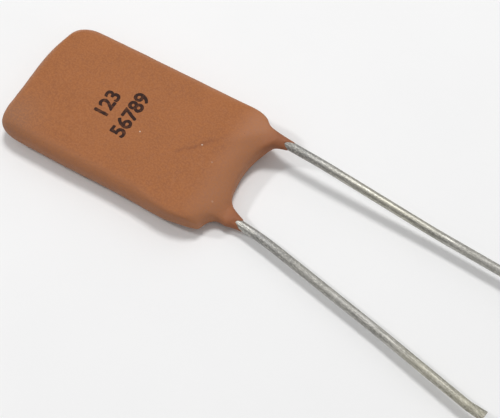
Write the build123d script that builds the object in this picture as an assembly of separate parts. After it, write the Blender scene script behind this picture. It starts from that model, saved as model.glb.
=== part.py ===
from build123d import *
from math import cos, radians, sin, tan
import os

# A rectangular ceramic plate capacitor with two wire leads and a dipped resin coat, in millimetres.
# It lies on its flat underside. The origin is the middle of that underside, +X points along the
# leads, +Y to the side where the front lead comes out, and +Z up through the coat's front face.

# Ceramic plate, the dielectric
plate_length = 17.8
plate_width = 9.8
plate_thickness = 0.9

# Fired silver electrode on each face of the plate
electrode_thickness = 0.03
electrode_margin = 0.4

# Tinned copper wire of the leads, and how each lead is bent to cross its face of the plate
wire_diameter = 0.8
lead_pitch = 7.5
lead_pair_offset = 0.6
lead_run = 8.0
lead_run_angle = 45.0
lead_bend_setback = 0.3
lead_bend_radius = 1.6
lead_knee_radius = 30.0

# The reach of both leads past the bend, and the slopes of their stretches, to the side and upwards
lead_reach = 26.2
front_reach_shares = (0.21, 0.42, 0.37)
front_splay_angles = (-3.1, -3.2, -3.6)
front_rise_angles = (-1.0, -4.8, -0.4)
back_reach_shares = (0.17, 0.44, 0.39)
back_splay_angles = (-8.0, -11.7, -13.2)
back_rise_angles = (5.5, 0.0, 1.5)

# Solder that holds each lead to its electrode
solder_film = 0.05
solder_height = 0.6
solder_width = 2.0
solder_top_width = 1.1
solder_setback = 0.1

# Dipped resin coat: its thickness over the plate's edges and over the crest of each lead
tail_coat = 1.3
head_coat = 1.5
side_coat = 1.3
crest_coat = 0.27
edge_round_share = 0.47
face_corner_radius = 0.8

# The coat's lead end thins out and leans from the front lead down to the back lead
nose_length = 3.8
nose_slant_angle = 12.0
nose_station_shares = (0.0, 0.36, 0.66, 0.88, 1.0)
nose_width_shares = (1.0, 0.985, 0.925, 0.79, 0.6)
nose_thickness_shares = (1.0, 0.895, 0.72, 0.46, 0.18)
nose_lean_shares = (0.0, 0.16, 0.44, 0.8, 1.0)

# The coat draws out along each lead into a flared leg, which spreads mostly towards the other lead,
# and a ridge of it follows the front lead
leg_length = 1.8
leg_root_depth = 2.0
leg_root_height = 1.64
front_leg_root_width = 4.4
back_leg_root_width = 3.6
leg_rim_wall = 0.2
leg_station_shares = (0.0, 0.6, 1.0)
leg_flare_shares = (1.0, 0.4, 0.0)
leg_sink_share = 0.35
leg_spread_share = 0.75
ridge_wall = 0.22

# Sizes that follow from the ones above
electrode_length = plate_length - 2 * electrode_margin
electrode_width = plate_width - 2 * electrode_margin
body_length = tail_coat + plate_length + head_coat
body_width = plate_width + 2 * side_coat
lead_level = plate_thickness / 2 + electrode_thickness + solder_film + wire_diameter / 2
body_thickness = 2 * (lead_level + wire_diameter / 2 + crest_coat)
edge_round = edge_round_share * body_thickness
mid_height = body_thickness / 2
head_end = body_length / 2
tail_end = -body_length / 2
plate_middle = tail_end + tail_coat + plate_length / 2
lead_bend_x = head_end - lead_bend_setback


def across(x, y=0, height=mid_height):
    """A sketch plane square to the X axis, with its own axes along Y and Z."""
    return Plane(origin=(x, y, height), x_dir=(0, 1, 0), z_dir=(1, 0, 0))


def lead_side(front):
    """The side in Y and in Z that a lead belongs to."""
    return 1 if front else -1


def bend_point(front):
    """Where a lead turns from its run across the plate towards the outside."""
    side = lead_side(front)
    return Vector(lead_bend_x, lead_pair_offset + side * lead_pitch / 2, mid_height + side * lead_level)


def inner_end(front):
    """The end of a lead on the plate, past the plate's centre line."""
    step = Vector(cos(radians(lead_run_angle)), lead_side(front) * sin(radians(lead_run_angle)), 0)
    return bend_point(front) - step * lead_run


def outer_points(front):
    """The corners of a lead outside the coat, the last one at its cut tip."""
    shares = front_reach_shares if front else back_reach_shares
    splays = front_splay_angles if front else back_splay_angles
    rises = front_rise_angles if front else back_rise_angles
    points = [bend_point(front)]
    for share, splay, rise in zip(shares, splays, rises):
        step = Vector(1, tan(radians(splay)), tan(radians(rise))) * (share * lead_reach)
        points.append(points[-1] + step)
    return points[1:]


def wire_along(points, radii, diameter):
    """A round wire along straight runs joined by tangent arcs."""
    path = FilletPolyline(*points, radius=radii)
    section = Plane(origin=path @ 0, z_dir=path % 0) * Circle(diameter / 2)
    return sweep(section, path=path)


def lead(front):
    """One lead, from its soldered end across the plate to its free tip."""
    points = outer_points(front)
    radii = [lead_bend_radius] + [lead_knee_radius] * (len(points) - 1)
    return wire_along([inner_end(front), bend_point(front)] + points, radii, wire_diameter)


def ceramic_plate():
    """The flat fired plate, cut square."""
    outline = Rectangle(plate_length, plate_width)
    base = Pos(plate_middle, 0, mid_height - plate_thickness / 2)
    return base * extrude(outline, plate_thickness)


def electrode(front):
    """The silver film on one face of the plate, set back from the plate's edges."""
    outline = Rectangle(electrode_length, electrode_width)
    lift = lead_side(front) * (plate_thickness + electrode_thickness) / 2 - electrode_thickness / 2
    return Pos(plate_middle, 0, mid_height + lift) * extrude(outline, electrode_thickness)


def solder_joint(front, wire):
    """A drafted mound of solder along the lead's run, with the wire bedded in it."""
    side = lead_side(front)
    start = inner_end(front)
    far_x = plate_middle + electrode_length / 2 - solder_setback - solder_width / 2
    length = (far_x - start.X) / cos(radians(lead_run_angle))
    middle = start + (bend_point(front) - start).normalized() * (length / 2)
    seat = mid_height + side * (plate_thickness / 2 + electrode_thickness)
    crest = seat + side * solder_height
    turn = side * lead_run_angle
    foot = Pos(middle.X, middle.Y, seat) * Rot(0, 0, turn) * SlotCenterToCenter(length, solder_width)
    top = Pos(middle.X, middle.Y, crest) * Rot(0, 0, turn) * SlotCenterToCenter(length, solder_top_width)
    return loft([foot, top], ruled=True) - wire


def coat_slab():
    """The pillow-edged slab round the plate, up to where the nose begins."""
    outline = RectangleRounded(body_length, body_width, edge_round + face_corner_radius)
    slab = extrude(outline, body_thickness)
    rims = slab.edges().filter_by(Plane.XY)
    slab = fillet(rims, edge_round)
    return split(slab, Plane.YZ.offset(head_end - nose_length), keep=Keep.BOTTOM)


def coat_nose():
    """The thinning lead end of the coat, which leans from one lead to the other."""
    sections = []
    shares = zip(nose_station_shares, nose_width_shares, nose_thickness_shares, nose_lean_shares)
    for station, width, thickness, lean in shares:
        plane = across(head_end - nose_length * (1 - station), lean * lead_pair_offset)
        outline = RectangleRounded(width * body_width, thickness * body_thickness,
                                   thickness * edge_round)
        sections.append(plane * Rot(0, 0, lean * nose_slant_angle) * outline)
    return loft(sections)


def coat_leg(front):
    """The flared leg that the coat forms where a lead comes out."""
    side = lead_side(front)
    bend = bend_point(front)
    ahead = (outer_points(front)[0] - bend).normalized()
    rim = wire_diameter + 2 * leg_rim_wall
    root = front_leg_root_width if front else back_leg_root_width
    sections = []
    for station, flare in zip(leg_station_shares, leg_flare_shares):
        x = head_end - leg_root_depth + station * (leg_root_depth + leg_length)
        axis = bend + ahead * ((x - bend.X) / ahead.X)
        width = rim + flare * (root - rim)
        height = rim + flare * (leg_root_height - rim)
        inward = side * leg_spread_share * (width - rim) / 2
        sink = side * leg_sink_share * flare * lead_level
        sections.append(across(x, axis.Y - inward, axis.Z - sink) * Ellipse(width / 2, height / 2))
    return loft(sections)


def coat_ridge():
    """The skin of resin over the front lead, which shows as a ridge where the nose thins."""
    bend = bend_point(True)
    ahead = (outer_points(True)[0] - bend).normalized()
    points = [inner_end(True), bend, bend + ahead * (lead_bend_setback + leg_length / 2)]
    return wire_along(points, [lead_bend_radius], wire_diameter + 2 * ridge_wall)


def coating(inside):
    """The dipped coat: slab, nose, ridge and legs, hollow where the inner pieces sit."""
    coat = coat_slab() + coat_nose() + coat_ridge()
    for front in (True, False):
        coat = coat + coat_leg(front)
    for piece in inside:
        coat = coat - piece
    return coat


def build():
    """Every piece of the capacitor by its name."""
    front_lead = lead(True)
    back_lead = lead(False)
    pieces = {
        "ceramic_plate": ceramic_plate(),
        "front_electrode": electrode(True),
        "back_electrode": electrode(False),
        "front_lead": front_lead,
        "back_lead": back_lead,
        "front_solder_joint": solder_joint(True, front_lead),
        "back_solder_joint": solder_joint(False, back_lead),
    }
    pieces["coating"] = coating(list(pieces.values()))
    return pieces


os.makedirs("parts", exist_ok=True)
for name, piece in build().items():
    export_step(piece, "parts/" + name + ".step")
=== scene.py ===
from math import atan2, cos, degrees, exp, pi, radians, sin, tan

import bmesh
import bpy
from mathutils import Matrix, Vector, noise
from mathutils.bvhtree import BVHTree


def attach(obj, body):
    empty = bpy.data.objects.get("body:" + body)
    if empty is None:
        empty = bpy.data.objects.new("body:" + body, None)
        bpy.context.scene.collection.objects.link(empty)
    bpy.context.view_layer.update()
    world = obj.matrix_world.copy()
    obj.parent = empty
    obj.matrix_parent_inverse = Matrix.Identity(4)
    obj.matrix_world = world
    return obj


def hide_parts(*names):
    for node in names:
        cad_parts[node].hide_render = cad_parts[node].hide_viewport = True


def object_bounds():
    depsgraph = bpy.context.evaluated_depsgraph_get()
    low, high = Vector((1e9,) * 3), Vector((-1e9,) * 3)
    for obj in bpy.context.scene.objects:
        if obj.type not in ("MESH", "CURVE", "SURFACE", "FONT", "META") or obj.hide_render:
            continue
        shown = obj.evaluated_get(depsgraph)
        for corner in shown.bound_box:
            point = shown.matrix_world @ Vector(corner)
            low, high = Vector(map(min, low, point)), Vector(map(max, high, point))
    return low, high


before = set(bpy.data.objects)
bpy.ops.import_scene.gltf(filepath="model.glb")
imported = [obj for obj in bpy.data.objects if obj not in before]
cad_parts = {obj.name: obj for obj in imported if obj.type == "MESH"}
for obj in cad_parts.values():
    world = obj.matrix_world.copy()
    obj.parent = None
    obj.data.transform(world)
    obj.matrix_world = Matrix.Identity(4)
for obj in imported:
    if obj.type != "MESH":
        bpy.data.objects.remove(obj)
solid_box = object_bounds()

mm = 0.001

# Points closer than this, in millimetres, are one place
same_place = 0.001

# The photograph's viewpoint: angles in degrees, lengths in millimetres
view_azimuth = 29.95
view_elevation = 63.09
view_distance = 96.05
view_target = (12.305, -2.13, 1.6)
view_lens = 84.96
view_nearest = 1.0

# Studio light, each lamp as (azimuth, elevation, size, power): a soft one behind the part, a weaker one past
# its plain end, a wide bounce from behind and a low one past its leads. The surround brightens from the
# horizon up.
lamp_distance = 320.0
key_lamp = (200.0, 70.5, 78.0, 0.47)
fill_lamp = (286.0, 41.5, 34.0, 0.255)
back_bounce = (180.0, 40.0, 300.0, 0.08)
lead_bounce = (90.0, 11.0, 120.0, 0.13)
horizon_strength = 0.1
zenith_strength = 0.52
floor_size = 900.0

# Cuts that divide the coat's cage along its length, width and thickness, in millimetres
cage_columns = (-9.3, -7.0, -2.5, 2.2, 4.3, 6.3, 8.0, 9.2)
cage_rows = (-5.2, -4.1, -2.7, -1.1, 1.6, 3.4, 4.95)
cage_layers = (1.0, 2.25)
cage_tail = -10.26
cage_head = 10.25
cage_near = -6.2
cage_far = 6.1

# The pillow edge: how far the rims of both faces draw in, how far they leave the face, and where the rims
# are: past a side or the plain end, and short of the lead end
rim_inset = 0.5
rim_drop = 0.2
side_start = 5.6
tail_start = -9.6
rim_end = 9.0

# Room under the top of the solids for the cage, and for the finished coat
top_room = 0.1
wave_room = 0.004

# Steps of subdivision that smooth the cages, and the angle past which the stamp's edges stay sharp
coat_levels = 4
wire_levels = 2
sharp_angle = 40.0

# Resin over the front lead's buried run: a soft ridge towards the leg, and a fine crease before it. A higher
# rise or fade is a shorter one, and a lower fill breaks the crease up more.
ridge_line = ((5.6, -0.3), (10.0, 3.9))
ridge_height = 0.08
ridge_width = 0.6
ridge_rise = 2.0
crease_line = ((4.45, -1.65), (8.1, 2.5))
crease_depth = 0.03
crease_width = 0.2
crease_wander = 0.3
crease_rise = 6.0
crease_fade = 1.7
crease_fill = 0.8
crease_break_scale = 2.5

# Unevenness of the dipped coat: (bumps per millimetre, height)
coat_waves = ((0.22, 0.05), (0.9, 0.016), (3.5, 0.004))

# The thinning lead end, one (x, y, underside, top) for each row from the near side to the far side
neck_lines = ((6.3, -6.34, 0.0, 3.05), (6.3, -5.2, 0.0, 3.08), (6.3, -4.1, 0.0, 3.08),
              (6.3, -2.7, 0.0, 3.08), (6.3, -1.1, 0.0, 3.1), (6.3, 1.6, 0.0, 3.13),
              (6.3, 3.4, 0.0, 3.13), (6.3, 4.95, 0.0, 3.13), (6.3, 6.12, 0.0, 3.13))
shoulder_lines = ((8.0, -6.08, 0.0, 2.75), (8.0, -5.2, 0.0, 2.85), (8.0, -4.1, 0.0, 2.85),
                  (8.0, -2.7, 0.0, 2.85), (8.0, -1.1, 0.0, 2.9), (8.0, 1.6, 0.05, 3.05),
                  (8.0, 3.4, 0.1, 3.12), (8.0, 4.95, 0.15, 3.13), (8.0, 5.84, 0.2, 3.02))
slope_lines = ((8.9, -5.72, 0.5, 2.3), (9.1, -4.98, 0.38, 2.4), (9.2, -4.1, 0.1, 2.35),
               (9.2, -2.7, 0.0, 2.35), (9.2, -1.1, 0.05, 2.45), (9.2, 1.6, 0.1, 2.6),
               (9.2, 3.4, 0.15, 3.1), (9.2, 4.95, 0.2, 3.12), (9.15, 5.75, 0.3, 2.9))
end_lines = ((9.5, -5.46, 0.6, 1.65), (9.56, -4.66, 0.5, 1.7), (10.0, -4.05, 0.2, 1.7),
             (10.26, -1.62, 0.05, 1.65), (10.0, -0.5, 0.05, 1.7), (9.9, 1.45, 0.1, 1.8),
             (10.45, 2.95, 0.3, 2.3), (10.1, 4.95, 0.7, 3.12), (9.78, 5.38, 0.6, 2.7))

# The plain end, one (column, row, x, y) for each line of the cage that its round corners move
tail_lines = ((cage_tail, cage_near, -10.0, -5.9), (cage_tail, -5.2, cage_tail, -4.4),
              (-9.3, cage_near, -8.6, -6.23), (cage_tail, cage_far, -9.64, 5.46),
              (cage_tail, 4.95, -9.9, 4.15), (cage_tail, 3.4, -10.14, 3.0), (cage_tail, 1.6, -10.29, 1.4),
              (-9.3, cage_far, -8.2, 6.16))

# Each leg, as rings of (place along x, shift towards the other lead, sink, half width, half height, corner)
far_leg_rings = ((11.05, 0.27, 0.18, 0.86, 1.0, 55), (11.45, 0.13, 0.05, 0.68, 0.66, 67),
                 (11.8, 0.07, 0.0, 0.55, 0.53, 67), (12.1, 0.02, 0.0, 0.475, 0.475, 67))
near_leg_rings = ((10.7, 0.1, 0.0, 0.94, 0.66, 50), (11.1, 0.0, 0.0, 0.87, 0.64, 58),
                  (11.45, 0.01, 0.0, 0.71, 0.6, 67), (11.8, 0.03, 0.0, 0.55, 0.53, 67),
                  (12.1, 0.0, 0.0, 0.475, 0.475, 67))

# The rows of the lead end that each leg is drawn out from, counted from the near side, where its points lie,
# and how its rim turns in to the wire, as (distance back, share of the rim's size)
far_leg_rows = (6, 7)
near_leg_rows = (2, 3)
leg_root_start = 9.9
leg_root_room = 0.05
rim_turns = ((0.01, 0.8), (0.25, 0.5))

# The leads: the wire, the steps that it is drawn in, its bends, and its corners from the end on the plate to
# the tip
wire_radius = 0.4
ring_points = 16
run_step = 0.5
bend_step = 0.3
bend_radius = 1.6
knee_radius = 30.0
front_route = ((4.343, -1.307, 2.53), (10.0, 4.35, 2.53), (15.5, 4.05, 2.434),
               (26.51, 3.437, 1.51), (36.2, 2.827, 1.442))
back_route = ((4.343, 2.507, 0.67), (10.0, -3.15, 0.67), (14.45, -3.776, 1.099),
              (25.98, -6.163, 1.099), (36.2, -8.56, 1.366))

# The cut tips: bent aside in degrees, and widened and flattened a little at each step
tip_length = 1.4
tip_steps = 5
tip_kink = 7.0
tip_widening = 1.03
tip_flattening = 0.91
tip_edge = 0.04
tip_room = 0.1

# Shallow dents and fine nicks on the wire: how close they come, and how deep they are
dent_scale = 0.8
dent_depth = 0.004
nick_scale = 4.0
nick_depth = 0.002

# How each wire has aged, as (place along x, how rough, how grey, how yellow), and how much that drifts
front_wear = ((11.0, 1.0, 1.0, 0.5), (14.0, 0.95, 0.8, 0.1), (15.5, 0.8, 0.6, 0.2),
              (17.0, 0.5, 0.4, 0.4), (20.0, 0.35, 0.2, 0.7), (23.0, 0.4, 0.2, 0.7),
              (25.0, 0.55, 0.25, 0.7), (27.5, 0.65, 0.3, 0.3), (31.0, 0.95, 0.3, 0.2),
              (36.0, 0.9, 0.4, 0.3))
back_wear = ((11.0, 0.1, 0.2, 0.4), (12.8, 0.2, 0.4, 0.2), (14.0, 1.0, 0.85, 0.0),
             (18.5, 1.0, 0.55, 0.3), (21.0, 0.85, 0.4, 0.2), (26.0, 0.95, 0.2, 0.1),
             (30.0, 0.9, 0.1, 0.7), (36.0, 1.0, 0.15, 0.9))
wear_drift = 0.15
wear_drift_scale = 0.6

# How dense the wire's drawn streaks and its fine grain are, along it and across it
streak_stretch = (0.2, 3.8, 3.8)
fine_stretch = (2.6, 7.0, 7.0)

# The ragged rims of the legs, each as (waves round the wire, their reach, the angle where they are longest),
# with a little more that is uneven, and where along x the rag starts and is full
far_rim_waves = ((2, 0.32, 24), (1, 0.2, 24), (0, 0.3, 0))
near_rim_waves = ((2, 0.28, 204), (1, 0.12, 204))
rim_rag = 0.12
rim_rag_scale = 2.0
rim_start = 11.2
rim_full = 12.1

# Where the coat is marked, as (start, length) along x or in degrees of tilt: thin resin towards the legs,
# painted sheen and light on the edges and the lead end, and darkening on the plain end with painted shade low
# on the sides, short of the lead end, with the strength of what is not full
thin_reach = (9.6, 2.2)
edge_sheen_tilt = (0.0, 40.0)
edge_sheen = 0.7
end_sheen_reach = (7.0, 2.5)
tail_darkening_reach = (-9.2, -0.9)
side_shade_tilt = (60.0, 50.0)
side_shade = 0.7
side_shade_end = (7.5, 1.5)

# White dust on the coat, each speck as (x, y, radius, strength), and a darker, greyer corner as (x, y,
# radius)
dust_specks = ((1.2, -1.1, 0.085, 0.6), (6.3, 0.4, 0.085, 0.65), (7.8, -0.54, 0.1, 0.15),
               (9.45, -3.3, 0.1, 0.2))
darkened_corner = (-8.9, -5.0, 2.2)

# The stamp: generic figures in two lines that read across the part, let down on the coat from a height
stamp_lines = (("123", -2.55, -0.2), ("56789", -0.3, -0.15))
stamp_turn = 90.0
stamp_height = 1.28
figure_share = 0.7
stamp_bold = 0.06
stamp_depth = 0.04
stamp_voxel = 0.025
stamp_lift = 0.008
stamp_rag = 0.03
stamp_rag_scale = 4.0
stamp_drop_height = 9.0

# How much denser the fine noise of a surface's grain is than the coarse
grain_ratio = 3.7

# Colours of the resin: two shades that cloud into each other, and the marks that lie over them
resin_colour = (0.320, 0.106, 0.029)
resin_shade = (0.286, 0.0945, 0.0265)
resin_mottle = (0.366, 0.131, 0.041)
# Painted sheen and light: a paler, greyer resin for tilted edges and the lead end
resin_painted_sheen = (0.395, 0.172, 0.087)
# Darker and greyer at the plain end and its near corner, and painted shade low on the sides
resin_darkening_and_shade = (0.255, 0.124, 0.070)
resin_fleck = (0.435, 0.165, 0.053)
resin_thin = (0.25, 0.085, 0.036)
# Painted shade in the crease
resin_crease_shade = (0.19, 0.06, 0.024)
# Small darker specks
resin_dark_speck = (0.20, 0.065, 0.025)
dust_colour = (0.72, 0.62, 0.52)

# Colours of the tin as it ages, and of its marks
tin_colour = (0.54, 0.53, 0.51)
tin_yellow = (0.54, 0.515, 0.40)
tin_grey = (0.28, 0.28, 0.275)
tin_dull = (0.40, 0.39, 0.36)
tin_streak = (0.20, 0.195, 0.18)
tin_scratch = (0.80, 0.78, 0.71)
tin_nick = (0.2, 0.19, 0.17)

# Colours of the ink, of the hidden pieces and of the paper, and how rough the two metals are
ink_colour = (0.034, 0.014, 0.010)
ink_thin = (0.13, 0.048, 0.022)
ink_missed = (0.2, 0.07, 0.03)
ceramic_colour = (0.60, 0.52, 0.40)
ceramic_shade = (0.52, 0.44, 0.33)
ceramic_grain = (0.36, 0.29, 0.21)
silver_colour = (0.80, 0.78, 0.74)
silver_dull = (0.66, 0.64, 0.58)
silver_roughness = (0.4, 0.55)
solder_colour = (0.58, 0.58, 0.57)
solder_dull = (0.44, 0.44, 0.43)
solder_roughness = (0.35, 0.5)
paper_colour = (0.875, 0.875, 0.875)
paper_shade = (0.865, 0.865, 0.866)


def choose(piece):
    """Makes a piece the only selected and active object."""
    bpy.ops.object.select_all(action="DESELECT")
    piece.select_set(True)
    bpy.context.view_layer.objects.active = piece


def start_edit(piece):
    """Opens a piece for edits of its points."""
    choose(piece)
    bpy.ops.object.mode_set(mode="EDIT")
    bpy.ops.mesh.select_mode(type="VERT")


def end_edit():
    """Closes the piece that is open."""
    bpy.ops.object.mode_set(mode="OBJECT")


def pick(piece, test):
    """Selects the points that pass a test of their place in millimetres, and what lies between them."""
    bpy.ops.mesh.select_all(action="DESELECT")
    shape = bmesh.from_edit_mesh(piece.data)
    for point in shape.verts:
        point.select = test(point.co / mm)
    shape.select_flush_mode()
    bmesh.update_edit_mesh(piece.data)


def near(a, b):
    """Whether two lengths in millimetres are the same."""
    return abs(a - b) < same_place


def clamped(value):
    """A value held between 0 and 1."""
    return min(1, max(0, value))


def eased(value):
    """A smooth step from 0 to 1."""
    value = clamped(value)
    return value * value * (3 - 2 * value)


def within(value, reach):
    """A smooth step from 0 to 1 that begins at a start and is over after a length."""
    start, length = reach
    return eased((value - start) / length)


def settle(piece, name):
    """Names a new piece and puts its place into its mesh."""
    choose(piece)
    bpy.ops.object.transform_apply(location=True, rotation=True, scale=True)
    piece.name = name
    piece.data.name = name
    return piece


def apply_modifier(piece, kind, **values):
    """Adds a modifier with its values, and applies it."""
    choose(piece)
    modifier = piece.modifiers.new(kind.title(), kind)
    for key, value in values.items():
        setattr(modifier, key, value)
    bpy.ops.object.modifier_apply(modifier=modifier.name)


def skin_points(piece):
    """Every point of a mesh in millimetres, with the way that the surface faces there."""
    count = len(piece.data.vertices)
    places, normals = [0.0] * (3 * count), [0.0] * (3 * count)
    piece.data.vertices.foreach_get("co", places)
    piece.data.vertices.foreach_get("normal", normals)
    return [(Vector(places[i:i + 3]) / mm, Vector(normals[i:i + 3])) for i in range(0, 3 * count, 3)]


def set_skin(piece, places):
    """Moves every point of a mesh to a place in millimetres."""
    piece.data.vertices.foreach_set("co", [value * mm for place in places for value in place])
    piece.data.update()


def keep_values(piece, names, rows):
    """Keeps named values on every point of a mesh, for its material to read."""
    for name, values in zip(names, zip(*rows)):
        piece.data.attributes.new(name, "FLOAT", "POINT").data.foreach_set("value", values)


def extrude_by(step):
    """Extrudes what is selected by a step in millimetres."""
    bpy.ops.mesh.extrude_region_move(TRANSFORM_OT_translate={"value": step * mm})


def subdivided(piece, levels):
    """Smooths a cage into its finished surface."""
    apply_modifier(piece, "SUBSURF", levels=levels, render_levels=levels)
    bpy.ops.object.shade_smooth()


# The coat


def coat_block():
    """The slab that the coat starts from, cut into the cage's columns, rows and layers."""
    top = solid_box[1].z / mm - top_room
    size = (cage_head - cage_tail, cage_far - cage_near, top)
    middle = ((cage_head + cage_tail) / 2, (cage_far + cage_near) / 2, top / 2)
    bpy.ops.object.select_all(action="DESELECT")
    bpy.ops.mesh.primitive_cube_add(size=1, location=Vector(middle) * mm, scale=Vector(size) * mm)
    coat = settle(bpy.context.object, "coat")
    start_edit(coat)
    for axis, places in enumerate((cage_columns, cage_rows, cage_layers)):
        for place in places:
            across = Vector([1.0 if axis == i else 0.0 for i in range(3)])
            bpy.ops.mesh.select_all(action="SELECT")
            bpy.ops.mesh.bisect(plane_co=across * place * mm, plane_no=across)
    return coat, top


def move_line(coat, column, row, x, y, low, high, top):
    """Moves one upright line of the cage in plan, and squeezes it between two heights."""
    pick(coat, lambda p: near(p.x, column) and near(p.y, row))
    bpy.ops.transform.resize(value=(1, 1, (high - low) / top), center_override=(0, 0, 0))
    bpy.ops.transform.translate(value=Vector((x - column, y - row, low)) * mm)


def shape_lead_end(coat, top):
    """Thins the lead end out, high beside the far lead and low beside the near one."""
    rows = (cage_near,) + cage_rows + (cage_far,)
    columns = cage_columns[-3:] + (cage_head,)
    for column, lines in zip(columns, (neck_lines, shoulder_lines, slope_lines, end_lines)):
        for row, (x, y, low, high) in zip(rows, lines):
            move_line(coat, column, row, x, y, low, min(high, top), top)


def shape_tail(coat, top):
    """Rounds the two plain corners."""
    for column, row, x, y in tail_lines:
        move_line(coat, column, row, x, y, 0, top, top)


def draw_in_rims(coat, top):
    """Draws the rims of both faces in, so that the sides come out as round pillow edges."""
    share_x = (cage_head - rim_inset) / cage_head
    share_y = (cage_far - rim_inset) / cage_far

    def at_side(p):
        return abs(p.y) > side_start or p.x < tail_start

    for height, drop in ((0, rim_drop), (top, -rim_drop)):
        pick(coat, lambda p: at_side(p) and p.x < rim_end and near(p.z, height))
        bpy.ops.transform.resize(value=(share_x, share_y, 1), center_override=(0, 0, 0))
        bpy.ops.transform.translate(value=(0, 0, drop * mm))


def round_ring(coat, x, y, z, half_width, half_height, corner):
    """Sets the eight selected points of a leg's new ring on an ellipse, four up each flank."""
    shape = bmesh.from_edit_mesh(coat.data)
    ring = [point for point in shape.verts if point.select]
    middle = sum(point.co.y for point in ring) / len(ring)
    for side in (-1, 1):
        flank = sorted((p for p in ring if side * (p.co.y - middle) > 0), key=lambda p: p.co.z)
        for share, point in zip((-1, -1 / 3, 1 / 3, 1), flank):
            turn = radians(share * corner)
            point.co = Vector((x, y + side * half_width * cos(turn), z + half_height * sin(turn))) * mm
    bmesh.update_edit_mesh(coat.data)


def draw_out_leg(coat, rows, route, towards, rings):
    """Extrudes a leg from the lead end, ring by ring along its lead, and turns its rim in to the wire."""
    low_y, high_y = (end_lines[row][1] for row in rows)
    pick(coat, lambda p: p.x > leg_root_start and low_y - leg_root_room < p.y < high_y + leg_root_room)
    bend, after = Vector(route[1]), Vector(route[2])
    ahead = (after - bend) / (after.x - bend.x)
    rim_x, _, _, rim_width, rim_height, corner = rings[-1]
    closing = tuple((rim_x - back, 0, 0, share * rim_width, share * rim_height, corner)
                    for back, share in rim_turns)
    for x, shift, sink, half_width, half_height, corner in rings + closing:
        axis = bend + ahead * (x - bend.x)
        bpy.ops.mesh.extrude_region_move()
        round_ring(coat, x, axis.y + towards * shift, axis.z - sink, half_width, half_height, corner)


def coat_piece():
    """The dipped coat, from its block to its uneven skin."""
    coat, top = coat_block()
    shape_lead_end(coat, top)
    shape_tail(coat, top)
    draw_in_rims(coat, top)
    draw_out_leg(coat, near_leg_rows, back_route, 1, near_leg_rings)
    draw_out_leg(coat, far_leg_rows, front_route, -1, far_leg_rings)
    bpy.ops.mesh.select_all(action="SELECT")
    bpy.ops.mesh.normals_make_consistent(inside=False)
    end_edit()
    subdivided(coat, coat_levels)
    weather_coat(coat)
    return coat


def beside(place, line):
    """How far along a line in plan a place is, from 0 to 1, and how far from the line."""
    start, end = (Vector(corner) for corner in line)
    run = end - start
    share = clamped((place - start).dot(run) / run.length_squared)
    return share, (place - start - run * share).length


def rag_rim(place, route, waves):
    """Moves a place on a leg's rim along its lead, further out on some sides than on others."""
    bend, after = Vector(route[1]), Vector(route[2])
    axis = bend + (after - bend) * ((place.x - bend.x) / (after.x - bend.x))
    turn = atan2(place.z - axis.z, place.y - axis.y)
    reach = sum(height * cos(count * (turn - radians(angle))) for count, height, angle in waves)
    round_wire = Vector((rim_rag_scale * cos(turn), rim_rag_scale * sin(turn), bend.y))
    reach += rim_rag * noise.noise(round_wire)
    return place + (after - bend).normalized() * reach * within(place.x, (rim_start, rim_full - rim_start))


def ridge_at(place):
    """How far the resin rises over the buried lead."""
    along, away = beside(place.xy, ridge_line)
    return ridge_height * eased(along * ridge_rise) * exp(-(away / ridge_width) ** 2)


def crease_at(place):
    """How deep the fine crease is, from 0 to 1, with breaks in it."""
    wander = Vector((0, crease_wander * noise.noise(place)))
    along, away = beside(place.xy + wander, crease_line)
    groove = exp(-(away / crease_width) ** 2) * eased(crease_rise * along) * eased(crease_fade * (1 - along))
    return groove * clamped(crease_fill + noise.noise(place * crease_break_scale))


def marks_at(place, tilt):
    """How thin the coat is, and how much painted sheen and light, and darkening with painted shade, it has at
    a place that faces up or is tilted, each from 0 to 1.
    """
    thin = within(place.x, thin_reach)
    # Painted sheen and light, paler and greyer, on tilted edges and towards the lead end
    painted_sheen = max(edge_sheen * within(tilt, edge_sheen_tilt), within(place.x, end_sheen_reach))
    # Darker and greyer at the plain end and its near corner, and painted shade low on the sides, short of the
    # lead end
    away = (place.xy - Vector(darkened_corner[:2])).length / darkened_corner[2]
    low_side = side_shade * within(tilt, side_shade_tilt) * (1 - within(place.x, side_shade_end))
    darkening_and_shade = max(exp(-away ** 2), within(place.x, tail_darkening_reach), low_side)
    return thin, painted_sheen, darkening_and_shade


def weather_coat(coat):
    """Gives the coat its waves, the ridge and crease over the buried lead, and the legs' ragged rims."""
    ceiling = solid_box[1].z / mm - wave_room
    tail = solid_box[0].x / mm
    places, marks = [], []
    for place, normal in skin_points(coat):
        upward = eased(normal.z)
        wave = sum(height * noise.noise(place * scale) for scale, height in coat_waves)
        groove = crease_at(place)
        lift = ridge_at(place) - crease_depth * groove
        if place.x > rim_start:
            route, waves = (front_route, far_rim_waves) if place.y > 0 else (back_route, near_rim_waves)
            place = rag_rim(place, route, waves)
        place = place + normal * wave + Vector((0, 0, lift * upward))
        thin, painted_sheen, darkening_and_shade = marks_at(place, degrees(normal.angle(Vector((0, 0, 1)))))
        # groove times upward is painted shade in the crease, kept for the material
        marks.append((thin, groove * upward, painted_sheen, darkening_and_shade))
        places.append((max(tail, place.x), place.y, min(ceiling, max(0, place.z))))
    set_skin(coat, places)
    keep_values(coat, ("thin", "crease_shade", "painted_sheen", "darkening_and_shade"), marks)


# The leads


def extrude_run(direction, length, step):
    """Draws the selected ring out along a straight run."""
    count = max(1, round(length / step))
    for _ in range(count):
        extrude_by(direction * (length / count))


def spin_bend(ahead, onward, corner, radius, step):
    """Spins the selected ring round a bend between two runs."""
    angle = ahead.angle(onward)
    axis = ahead.cross(onward).normalized()
    centre = corner - ahead * (radius * tan(angle / 2)) + axis.cross(ahead) * radius
    bpy.ops.mesh.spin(steps=max(2, round(radius * angle / step)), angle=-angle,
                      center=centre * mm, axis=axis)


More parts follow.
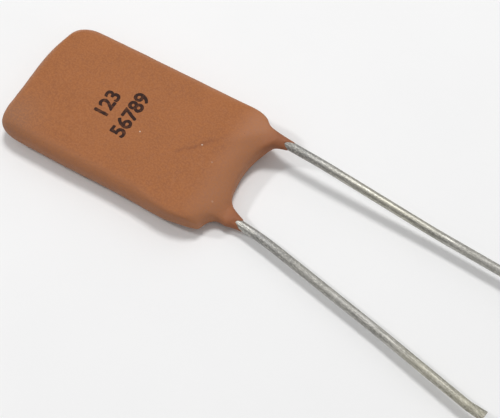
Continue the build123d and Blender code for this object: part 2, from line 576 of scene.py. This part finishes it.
def pinch_tip(end, ahead):
    """Draws out the last of a lead, bent aside and flattened as a side cutter leaves it."""
    aside = Matrix.Rotation(radians(tip_kink), 3, "Z") @ ahead
    place = end - ahead * (tip_length + tip_room)
    for _ in range(tip_steps):
        extrude_by(aside * (tip_length / tip_steps))
        place = place + aside * (tip_length / tip_steps)
        bpy.ops.transform.resize(value=(1, tip_widening, tip_flattening), center_override=place * mm)
    extrude_by(aside * tip_edge)
    bpy.ops.mesh.inset(thickness=tip_edge * mm)


def lead_piece(name, route, wear_steps):
    """A wire drawn along its route from a flat disc, with spun bends and a cut tip."""
    points = [Vector(p) for p in route]
    runs = [(b - a).normalized() for a, b in zip(points, points[1:])]
    radii = [bend_radius] + [knee_radius] * (len(points) - 3)
    setbacks = [r * tan(a.angle(b) / 2) for r, a, b in zip(radii, runs, runs[1:])]
    starts = [0] + setbacks
    ends = setbacks + [tip_length + tip_room]
    cage_radius = 3 * wire_radius / (2 + cos(2 * pi / ring_points))
    facing = runs[0].to_track_quat("Z", "Y").to_euler()
    bpy.ops.object.select_all(action="DESELECT")
    bpy.ops.mesh.primitive_circle_add(vertices=ring_points, radius=cage_radius * mm, fill_type="NGON",
                                      location=points[0] * mm, rotation=facing)
    lead = settle(bpy.context.object, name)
    start_edit(lead)
    bpy.ops.mesh.select_all(action="SELECT")
    for i, run in enumerate(runs):
        length = (points[i + 1] - points[i]).length - starts[i] - ends[i]
        extrude_run(run, length, run_step)
        if i < len(radii):
            spin_bend(run, runs[i + 1], points[i + 1], radii[i], bend_step)
    pinch_tip(points[-1], runs[-1])
    bpy.ops.mesh.select_all(action="SELECT")
    bpy.ops.mesh.remove_doubles(threshold=same_place * mm)
    bpy.ops.mesh.normals_make_consistent(inside=False)
    end_edit()
    subdivided(lead, wire_levels)
    handle_wire(lead, points, wear_steps)
    return lead


def straightened(place, points):
    """A point's place on the wire as if it were straight: along it, and across it on two axes."""
    best = None
    before = 0
    for a, b in zip(points, points[1:]):
        run = b - a
        share = clamped((place - a).dot(run) / run.length_squared)
        away = place - a - run * share
        if best is None or away.length < best[0]:
            side = run.cross(Vector((0, 0, 1))).normalized()
            best = away.length, Vector((before + share * run.length, away.dot(side), away.z))
        before += run.length
    return best[1]


def wear_at(x, steps):
    """How rough, grey and yellow a wire is at a place, between the two steps beside it."""
    x = min(steps[-1][0], max(steps[0][0], x))
    for low, high in zip(steps, steps[1:]):
        if x <= high[0]:
            share = (x - low[0]) / (high[0] - low[0])
            return [a + (b - a) * share for a, b in zip(low[1:], high[1:])]


def handle_wire(lead, points, wear_steps):
    """Presses shallow dents into a wire, and keeps its straightened places and how it has aged there."""
    places, lengths, aged = [], [], []
    for place, normal in skin_points(lead):
        straight = straightened(place, points)
        lengths.extend(straight)
        dent = max(0, noise.noise(straight * dent_scale)) * dent_depth
        dent += abs(noise.noise(straight * nick_scale)) * nick_depth
        places.append(place - normal * dent)
        drift = wear_drift * noise.noise(straight * wear_drift_scale)
        aged.append([amount + drift for amount in wear_at(place.x, wear_steps)])
    set_skin(lead, places)
    lead.data.attributes.new("drawn", "FLOAT_VECTOR", "POINT").data.foreach_set("vector", lengths)
    keep_values(lead, ("worn", "grey", "yellow"), aged)


# The stamp


def stamp_row(body, x, y):
    """One line of figures as a thin plate."""
    bpy.ops.object.select_all(action="DESELECT")
    bpy.ops.object.text_add(location=Vector((x, y, 0)) * mm, rotation=(0, 0, radians(stamp_turn)))
    text = bpy.context.object
    text.data.body = body
    text.data.size = stamp_height * mm / figure_share
    text.data.extrude = stamp_depth * mm
    text.data.align_x = "CENTER"
    text.data.align_y = "CENTER"
    bpy.ops.object.convert(target="MESH")
    return settle(bpy.context.object, "stamp")


def stamp_piece(coat):
    """Figures stamped on the coat's top face, bold and a little ragged, in a film that follows it."""
    rows = [stamp_row(*line) for line in stamp_lines]
    choose(rows[0])
    for row in rows:
        row.select_set(True)
    bpy.ops.object.join()
    stamp = settle(bpy.context.object, "stamp")
    stamp.data.remesh_voxel_size = stamp_voxel * mm
    bpy.ops.object.voxel_remesh()
    tree = BVHTree.FromObject(coat, bpy.context.evaluated_depsgraph_get())
    places = []
    for place, normal in skin_points(stamp):
        swell = stamp_bold + stamp_rag * noise.noise(place.xy.to_3d() * stamp_rag_scale)
        x, y = place.xy + normal.xy * swell
        ground = tree.ray_cast(Vector((x, y, stamp_drop_height)) * mm, Vector((0, 0, -1)))[0].z / mm
        places.append((x, y, ground + (stamp_lift if place.z > 0 else -stamp_lift)))
    set_skin(stamp, places)
    bpy.ops.object.shade_smooth_by_angle(angle=radians(sharp_angle))
    return stamp


# Shader nodes


def add(tree, kind, values=None, **choices):
    """Adds a shader node, with values for its sockets and choices for the node itself."""
    made = tree.nodes.new("ShaderNode" + kind)
    for name, choice in choices.items():
        setattr(made, name, choice)
    for name, value in (values or {}).items():
        made.inputs[name].default_value = value
    return made


def start_group(name, inputs, outputs):
    """A shader node group with its named sockets, a vector where no value is given, and its two end nodes."""
    tree = bpy.data.node_groups.new(name, "ShaderNodeTree")
    for socket, value in inputs.items():
        kind = "NodeSocketVector" if value is None else "NodeSocketFloat"
        made = tree.interface.new_socket(socket, in_out="INPUT", socket_type=kind)
        if value is not None:
            made.default_value = value
    for socket in outputs:
        tree.interface.new_socket(socket, in_out="OUTPUT", socket_type="NodeSocketFloat")
    return tree, tree.nodes.new("NodeGroupInput"), tree.nodes.new("NodeGroupOutput")


def blotches_group():
    """Soft patches: a mask that is 1 where slow noise is high."""
    inputs = {"Vector": None, "Scale": 1.0, "From": 0.35, "To": 0.65}
    tree, given, out = start_group("blotches", inputs, ("Mask",))
    clouds = add(tree, "TexNoise", {"Detail": 4.0, "Roughness": 0.55})
    spread = add(tree, "MapRange", interpolation_type="SMOOTHSTEP")
    tree.links.new(given.outputs["Vector"], clouds.inputs["Vector"])
    tree.links.new(given.outputs["Scale"], clouds.inputs["Scale"])
    tree.links.new(clouds.outputs[0], spread.inputs["Value"])
    tree.links.new(given.outputs["From"], spread.inputs["From Min"])
    tree.links.new(given.outputs["To"], spread.inputs["From Max"])
    tree.links.new(spread.outputs["Result"], out.inputs["Mask"])
    return tree


def specks_group():
    """Scattered specks: a mask that is 1 inside a share of a pattern's cells, near their middles."""
    inputs = {"Vector": None, "Scale": 1.0, "Radius": 0.2, "Share": 0.3}
    tree, given, out = start_group("specks", inputs, ("Mask",))
    cells = add(tree, "TexVoronoi")
    inside = add(tree, "Math", operation="LESS_THAN")
    chosen = add(tree, "Math", operation="LESS_THAN")
    both = add(tree, "Math", operation="MULTIPLY")
    tint = add(tree, "SeparateColor")
    tree.links.new(given.outputs["Vector"], cells.inputs["Vector"])
    tree.links.new(given.outputs["Scale"], cells.inputs["Scale"])
    tree.links.new(cells.outputs["Distance"], inside.inputs[0])
    tree.links.new(given.outputs["Radius"], inside.inputs[1])
    tree.links.new(cells.outputs["Color"], tint.inputs["Color"])
    tree.links.new(tint.outputs[0], chosen.inputs[0])
    tree.links.new(given.outputs["Share"], chosen.inputs[1])
    tree.links.new(inside.outputs[0], both.inputs[0])
    tree.links.new(chosen.outputs[0], both.inputs[1])
    tree.links.new(both.outputs[0], out.inputs["Mask"])
    return tree


def grain_group():
    """Fine unevenness: a height from a coarse and a fine noise."""
    inputs = {"Vector": None, "Scale": 5.0, "Fine Share": 0.4}
    tree, given, out = start_group("grain", inputs, ("Height",))
    coarse = add(tree, "TexNoise", {"Detail": 2.0})
    fine = add(tree, "TexNoise", {"Detail": 3.0})
    finer = add(tree, "Math", {1: grain_ratio}, operation="MULTIPLY")
    mixed = add(tree, "Mix")
    for noise_node in (coarse, fine):
        tree.links.new(given.outputs["Vector"], noise_node.inputs["Vector"])
    tree.links.new(given.outputs["Scale"], coarse.inputs["Scale"])
    tree.links.new(given.outputs["Scale"], finer.inputs[0])
    tree.links.new(finer.outputs[0], fine.inputs["Scale"])
    tree.links.new(given.outputs["Fine Share"], mixed.inputs[0])
    tree.links.new(coarse.outputs[0], mixed.inputs[2])
    tree.links.new(fine.outputs[0], mixed.inputs[3])
    tree.links.new(mixed.outputs[0], out.inputs["Height"])
    return tree


class Finish:
    """A material in the making: its tree, its shader, and its places on the object in millimetres."""

    def __init__(self, name, attribute=None):
        self.material = bpy.data.materials.new(name)
        self.material.use_nodes = True
        self.tree = self.material.node_tree
        self.shader = self.tree.nodes["Principled BSDF"]
        if attribute:
            self.places = add(self.tree, "Attribute", attribute_name=attribute).outputs["Vector"]
        else:
            self.places = self.stretched(add(self.tree, "TexCoord").outputs["Object"], (1 / mm,) * 3)

    def link(self, out, into):
        self.tree.links.new(out, into)

    def stretched(self, places, scale):
        """Places stretched along the axes."""
        mapping = add(self.tree, "Mapping", {"Scale": scale})
        self.link(places, mapping.inputs["Vector"])
        return mapping.outputs["Vector"]

    def effect(self, group, places=None, **values):
        """The output of a shared group, with its own values here."""
        placed = add(self.tree, "Group", node_tree=group)
        for name, value in values.items():
            placed.inputs[name.replace("_", " ")].default_value = value
        self.link(places or self.places, placed.inputs["Vector"])
        return placed.outputs[0]

    def attribute(self, name):
        return add(self.tree, "Attribute", attribute_name=name).outputs["Fac"]

    def scaled(self, value, low, high):
        """A mask as a value between two numbers."""
        spread = add(self.tree, "MapRange", {"To Min": low, "To Max": high})
        self.link(value, spread.inputs["Value"])
        return spread.outputs["Result"]

    def mixed(self, under, over, mask, strength=1.0):
        """One colour laid over another where a mask says, as strongly as is given."""
        mix = add(self.tree, "Mix", data_type="RGBA")
        self.link(self.scaled(mask, 0.0, strength), mix.inputs[0])
        for colour, socket in ((under, mix.inputs[6]), (over, mix.inputs[7])):
            if isinstance(colour, tuple):
                socket.default_value = (*colour, 1)
            else:
                self.link(colour, socket)
        return mix.outputs[2]

    def summed(self, first, second):
        total = add(self.tree, "Math", operation="ADD")
        self.link(first, total.inputs[0])
        self.link(second, total.inputs[1])
        return total.outputs[0]

    def raised(self, height, distance):
        """Bumps the surface by a height that runs from 0 to a distance in millimetres."""
        bump = add(self.tree, "Bump", {"Strength": 1.0, "Distance": distance * mm})
        self.link(height, bump.inputs["Height"])
        self.link(bump.outputs["Normal"], self.shader.inputs["Normal"])

    def set(self, **values):
        """Sets or links the shader's own sockets."""
        for name, value in values.items():
            socket = self.shader.inputs[name.replace("_", " ")]
            if isinstance(value, bpy.types.NodeSocket):
                self.link(value, socket)
            else:
                socket.default_value = value


# Materials


def resin_material(blotches, specks, grain):
    """Dipped resin: matt and faintly clouded, with painted sheen and light on its edges and lead end, darker
    and greyer at its plain end, painted shade low on its sides and in the crease, and dark where thin.
    """
    finish = Finish("coat_resin")
    cloud = finish.effect(blotches, Scale=0.3, From=0.3, To=0.7)
    mottle = finish.effect(blotches, Scale=2.6, From=0.3, To=0.7)
    flecks = finish.effect(blotches, Scale=6.5, From=0.38, To=0.64)
    dark_specks = finish.effect(specks, Scale=1.5, Radius=0.09, Share=0.3)
    colour = finish.mixed(resin_colour, resin_shade, cloud)
    colour = finish.mixed(colour, resin_mottle, mottle, 0.5)
    # Painted sheen and light on the edges and the lead end
    colour = finish.mixed(colour, resin_painted_sheen, finish.attribute("painted_sheen"), 0.9)
    # Darker and greyer at the plain end, and painted shade low on the sides
    colour = finish.mixed(colour, resin_darkening_and_shade, finish.attribute("darkening_and_shade"), 0.7)
    colour = finish.mixed(colour, resin_fleck, flecks, 0.45)
    colour = finish.mixed(colour, resin_thin, finish.attribute("thin"), 0.75)
    # Painted shade in the crease
    colour = finish.mixed(colour, resin_crease_shade, finish.attribute("crease_shade"), 0.5)
    # Small darker specks
    colour = finish.mixed(colour, resin_dark_speck, dark_specks, 0.45)
    plan = finish.stretched(finish.places, (1, 1, 0))
    for x, y, radius, strength in dust_specks:
        distance = add(finish.tree, "VectorMath", {1: (x, y, 0)}, operation="DISTANCE")
        finish.link(plan, distance.inputs[0])
        near_speck = add(finish.tree, "MapRange", {"From Min": radius, "From Max": radius / 2})
        finish.link(distance.outputs["Value"], near_speck.inputs["Value"])
        colour = finish.mixed(colour, dust_colour, near_speck.outputs["Result"], strength)
    finish.set(Base_Color=colour, Roughness=finish.scaled(mottle, 0.55, 0.68), Specular_IOR_Level=0.3)
    finish.raised(finish.effect(grain, Scale=4.5, Fine_Share=0.4), 0.045)
    return finish.material


def tin_material(blotches, specks, grain):
    """Tinned wire: drawn streaks, fine scratches, dull patches and nicks, rough, grey or yellow with age."""
    finish = Finish("tinned_wire", attribute="drawn")
    drawn = finish.stretched(finish.places, streak_stretch)
    fine = finish.stretched(finish.places, fine_stretch)
    streaks = finish.effect(blotches, drawn, Scale=2.2, From=0.42, To=0.62)
    scratches = finish.effect(blotches, fine, Scale=1.8, From=0.5, To=0.6)
    dull = finish.effect(blotches, Scale=1.6, From=0.35, To=0.68)
    nicks = finish.effect(specks, Scale=1.6, Radius=0.16, Share=0.3)
    colour = finish.mixed(tin_colour, tin_yellow, finish.attribute("yellow"))
    colour = finish.mixed(colour, tin_grey, finish.attribute("grey"), 0.8)
    colour = finish.mixed(colour, tin_dull, dull, 0.1)
    colour = finish.mixed(colour, tin_streak, streaks, 0.55)
    colour = finish.mixed(colour, tin_scratch, scratches, 0.48)
    colour = finish.mixed(colour, tin_nick, nicks, 0.5)
    worn = finish.scaled(finish.attribute("worn"), 0.3, 0.64)
    rough = finish.summed(worn, finish.scaled(dull, 0.02, 0.08))
    finish.set(Base_Color=colour, Roughness=rough, Metallic=1.0)
    finish.raised(finish.effect(grain, fine, Scale=2.0, Fine_Share=0.3), 0.01)
    return finish.material


def ink_material(blotches, specks, grain):
    """Stamp ink: brown-black, thin in patches where the resin shows through."""
    finish = Finish("stamp_ink")
    thin = finish.effect(blotches, Scale=2.8, From=0.48, To=0.72)
    missed = finish.effect(specks, Scale=5.0, Radius=0.25, Share=0.2)
    colour = finish.mixed(ink_colour, ink_thin, thin, 0.75)
    colour = finish.mixed(colour, ink_missed, missed, 0.5)
    finish.set(Base_Color=colour, Roughness=finish.scaled(thin, 0.6, 0.7), Specular_IOR_Level=0.12)
    finish.raised(finish.effect(grain, Scale=6.0, Fine_Share=0.4), 0.01)
    return finish.material


def ceramic_material(blotches, specks, grain):
    """Fired ceramic: a matt tan body with darker grains."""
    finish = Finish("plate_ceramic")
    cloud = finish.effect(blotches, Scale=0.6)
    grains = finish.effect(specks, Scale=4.0, Radius=0.2, Share=0.35)
    colour = finish.mixed(ceramic_colour, ceramic_shade, cloud)
    colour = finish.mixed(colour, ceramic_grain, grains, 0.6)
    finish.set(Base_Color=colour, Roughness=finish.scaled(cloud, 0.55, 0.7))
    finish.raised(finish.effect(grain, Scale=7.0, Fine_Share=0.5), 0.015)
    return finish.material


def metal_material(name, bright, dull, roughness, blotches, grain):
    """A matt metal with dull patches: the fired silver film and the solder."""
    finish = Finish(name)
    patches = finish.effect(blotches, Scale=1.2)
    finish.set(Base_Color=finish.mixed(bright, dull, patches), Metallic=1.0,
               Roughness=finish.scaled(patches, *roughness))
    finish.raised(finish.effect(grain, Scale=4.0, Fine_Share=0.5), 0.01)
    return finish.material


def paper_material(blotches, grain):
    """The pale paper that the part lies on."""
    finish = Finish("pale_paper")
    cloud = finish.effect(blotches, Scale=0.05)
    finish.set(Base_Color=finish.mixed(paper_colour, paper_shade, cloud),
               Roughness=finish.scaled(cloud, 0.75, 0.8), Specular_IOR_Level=0.2)
    finish.raised(finish.effect(grain, Scale=3.0, Fine_Share=0.5), 0.004)
    return finish.material


def dress(piece, material):
    """Gives a piece its one material."""
    piece.data.materials.clear()
    piece.data.materials.append(material)


# The studio


def floor_piece(paper):
    """The pale floor."""
    bpy.ops.object.select_all(action="DESELECT")
    bpy.ops.mesh.primitive_plane_add(size=floor_size * mm)
    floor = settle(bpy.context.object, "floor")
    dress(floor, paper)


def aim(azimuth, elevation, distance, target):
    """The place from which one looks at a target, and the turn that looks at it."""
    turn = Matrix.Rotation(radians(azimuth), 3, "Z") @ Matrix.Rotation(radians(90 - elevation), 3, "X")
    place = Vector(target) + turn @ Vector((0, 0, distance))
    return place * mm, turn.to_euler()


def surround():
    """A plain pale sky, dimmer towards the horizon."""
    world = bpy.data.worlds.new("surround")
    world.use_nodes = True
    tree = world.node_tree
    height = add(tree, "SeparateXYZ")
    spread = add(tree, "MapRange", {"To Min": horizon_strength, "To Max": zenith_strength})
    tree.links.new(add(tree, "TexCoord").outputs["Generated"], height.inputs[0])
    tree.links.new(height.outputs["Z"], spread.inputs["Value"])
    tree.links.new(spread.outputs["Result"], tree.nodes["Background"].inputs["Strength"])
    tree.nodes["Background"].inputs["Color"].default_value = (1, 1, 1, 1)
    bpy.context.scene.world = world


def studio():
    """The camera at the photograph's viewpoint, and the light."""
    place, turn = aim(view_azimuth, view_elevation, view_distance, view_target)
    bpy.ops.object.camera_add(location=place, rotation=turn)
    camera = bpy.context.object
    camera.data.lens = view_lens
    camera.data.clip_start = view_nearest * mm
    bpy.context.scene.camera = camera
    for azimuth, elevation, size, power in (key_lamp, fill_lamp, back_bounce, lead_bounce):
        place, turn = aim(azimuth, elevation, lamp_distance, view_target)
        bpy.ops.object.light_add(type="AREA", location=place, rotation=turn)
        lamp = bpy.context.object.data
        lamp.shape = "DISK"
        lamp.size = size * mm
        lamp.energy = power
    surround()
    bpy.context.scene.view_settings.view_transform = "Standard"


coat = coat_piece()
front_lead = lead_piece("front_wire", front_route, front_wear)
back_lead = lead_piece("back_wire", back_route, back_wear)
stamp = stamp_piece(coat)

blotches, specks, grain = blotches_group(), specks_group(), grain_group()
resin = resin_material(blotches, specks, grain)
tin = tin_material(blotches, specks, grain)
ink = ink_material(blotches, specks, grain)
silver = metal_material("silver_film", silver_colour, silver_dull, silver_roughness, blotches, grain)
solder = metal_material("solder", solder_colour, solder_dull, solder_roughness, blotches, grain)
dress(coat, resin)
dress(front_lead, tin)
dress(back_lead, tin)
dress(stamp, ink)
dress(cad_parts["ceramic_plate"], ceramic_material(blotches, specks, grain))
for side in ("front", "back"):
    dress(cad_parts[side + "_electrode"], silver)
    dress(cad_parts[side + "_solder_joint"], solder)

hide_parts("coating")
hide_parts("front_lead")
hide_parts("back_lead")
slots = ((coat, "coat_resin"), (front_lead, "tinned_wire"), (back_lead, "tinned_wire"), (stamp, "coat_resin"))
for piece, slot in slots:
    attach(piece, "root")
floor_piece(paper_material(blotches, grain))
studio()
